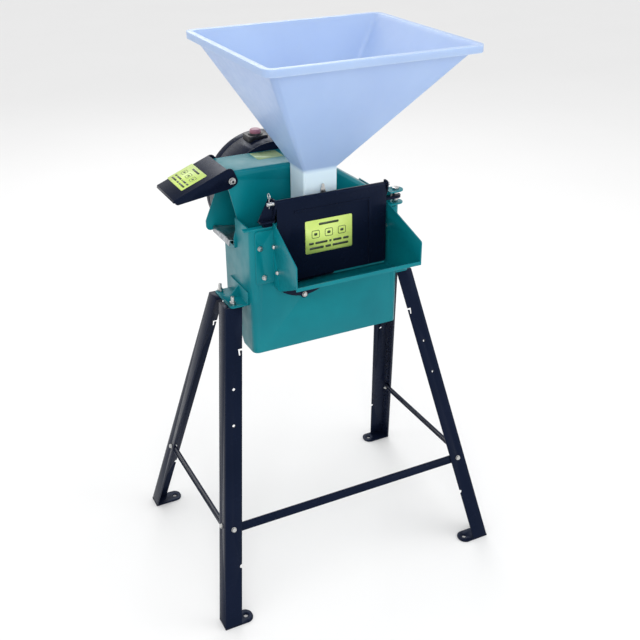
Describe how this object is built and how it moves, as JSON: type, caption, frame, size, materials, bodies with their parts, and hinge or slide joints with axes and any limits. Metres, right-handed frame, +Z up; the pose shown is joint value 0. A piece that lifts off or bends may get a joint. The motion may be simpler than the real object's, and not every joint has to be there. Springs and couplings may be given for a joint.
{
  "type": "forage_shredder_hammer_mill",
  "caption": "Electric forage shredder and hammer mill on a four leg stand with front feed tray, white grain hopper and side outlet",
  "frame": {"origin": "Floor level under the middle of the four feet", "axes": "+Z up, -Y towards the feed tray, -X towards the side outlet"},
  "size_m": [0.73, 0.546, 1.256],
  "materials": {
    "green_coat": "satin powder coat",
    "black_coat": "gloss paint",
    "white_plastic": "smooth moulded",
    "zinc_plate": "zinc plated",
    "galvanised": "galvanised sheet",
    "dark_steel": "hardened steel",
    "cast_alloy": "die cast",
    "lamination": "stacked sheet",
    "copper_winding": "enamelled wire",
    "black_plastic": "moulded",
    "red_plastic": "moulded"
  },
  "bodies": {
    "machine": {"leg_front_left": "black_coat", "leg_front_right": "black_coat", "leg_back_left": "black_coat", "leg_back_right": "black_coat", "front_brace": "black_coat", "side_brace_left": "black_coat", "side_brace_right": "black_coat", "brace_bolts": "zinc_plate", "stand_bolts": "zinc_plate", "side_bracket_left": "green_coat", "side_bracket_right": "green_coat", "body_skirt": "green_coat", "casing_shell": "green_coat", "casing_back_plate": "green_coat", "chamber_liner": "galvanised", "sieve": "galvanised", "spout_floor": "galvanised", "chamber_left_panel": "green_coat", "discharge_guide": "green_coat", "mouth_ring": "black_coat", "inner_trough": "green_coat", "feed_tray": "green_coat", "front_bolts": "zinc_plate", "flap_bracket_left": "black_coat", "flap_bracket_right": "black_coat", "hinge_ears": "green_coat", "ear_pin": "zinc_plate", "flap_rod": "zinc_plate", "rod_clip": "zinc_plate", "side_flap_pivots": "zinc_plate", "hopper": "white_plastic", "hopper_pad": "black_plastic", "hopper_screws": "zinc_plate", "motor_front_shield": "black_coat", "motor_rear_shield": "black_coat", "motor_drum": "black_coat", "motor_bearings": "dark_steel", "stator_core": "lamination", "stator_windings": "copper_winding", "motor_screws": "zinc_plate", "fan_cowl": "black_coat", "switch_base": "black_plastic", "cable_gland": "black_plastic"},
    "rotor": {"rotor_body": "dark_steel", "rotor_shaft": "dark_steel", "rotor_nut": "zinc_plate", "shaft_key": "dark_steel", "hammer_pins": "zinc_plate", "forage_knives": "dark_steel", "knife_bolts": "zinc_plate", "motor_core": "lamination", "cooling_fan": "black_plastic"},
    "hammer_1": {"hammer_1": "dark_steel"},
    "hammer_2": {"hammer_2": "dark_steel"},
    "hammer_3": {"hammer_3": "dark_steel"},
    "hammer_4": {"hammer_4": "dark_steel"},
    "front_flap": {"front_flap": "black_coat"},
    "side_flap": {"side_flap": "black_coat"},
    "gate_slide": {"gate_slide": "zinc_plate"},
    "switch_button": {"switch_button": "red_plastic"}
  },
  "joints": [
    {"name": "rotor_spin", "type": "hinge", "parent": "machine", "child": "rotor", "pos_m": [-0.036, 0.06, 0.874], "axis": [0, -1, 0], "continuous": true},
    {"name": "hammer_1_swing", "type": "hinge", "parent": "rotor", "child": "hammer_1", "pos_m": [0.0135, 0.063, 0.9235], "axis": [0, 1, 0], "continuous": true},
    {"name": "hammer_2_swing", "type": "hinge", "parent": "rotor", "child": "hammer_2", "pos_m": [-0.0855, 0.063, 0.9235], "axis": [0, 1, 0], "continuous": true},
    {"name": "hammer_3_swing", "type": "hinge", "parent": "rotor", "child": "hammer_3", "pos_m": [-0.0855, 0.063, 0.8245], "axis": [0, 1, 0], "continuous": true},
    {"name": "hammer_4_swing", "type": "hinge", "parent": "rotor", "child": "hammer_4", "pos_m": [0.0135, 0.063, 0.8245], "axis": [0, 1, 0], "continuous": true},
    {"name": "front_flap_hinge", "type": "hinge", "parent": "machine", "child": "front_flap", "pos_m": [0, -0.086, 0.94], "axis": [-1, 0, 0], "range_deg": [0, 100]},
    {"name": "side_flap_hinge", "type": "hinge", "parent": "machine", "child": "side_flap", "pos_m": [-0.188, 0.06, 0.971], "axis": [0, 1, 0], "range_deg": [-55, 25]},
    {"name": "gate_travel", "type": "slide", "parent": "machine", "child": "gate_slide", "axis": [1, 0, 0], "range_m": [0, 0.075]},
    {"name": "button_press", "type": "slide", "parent": "machine", "child": "switch_button", "axis": [0, 0, -1], "range_m": [0, 0.003], "stiffness_N_per_m": 400, "springref_m": -0.002}
  ]
}
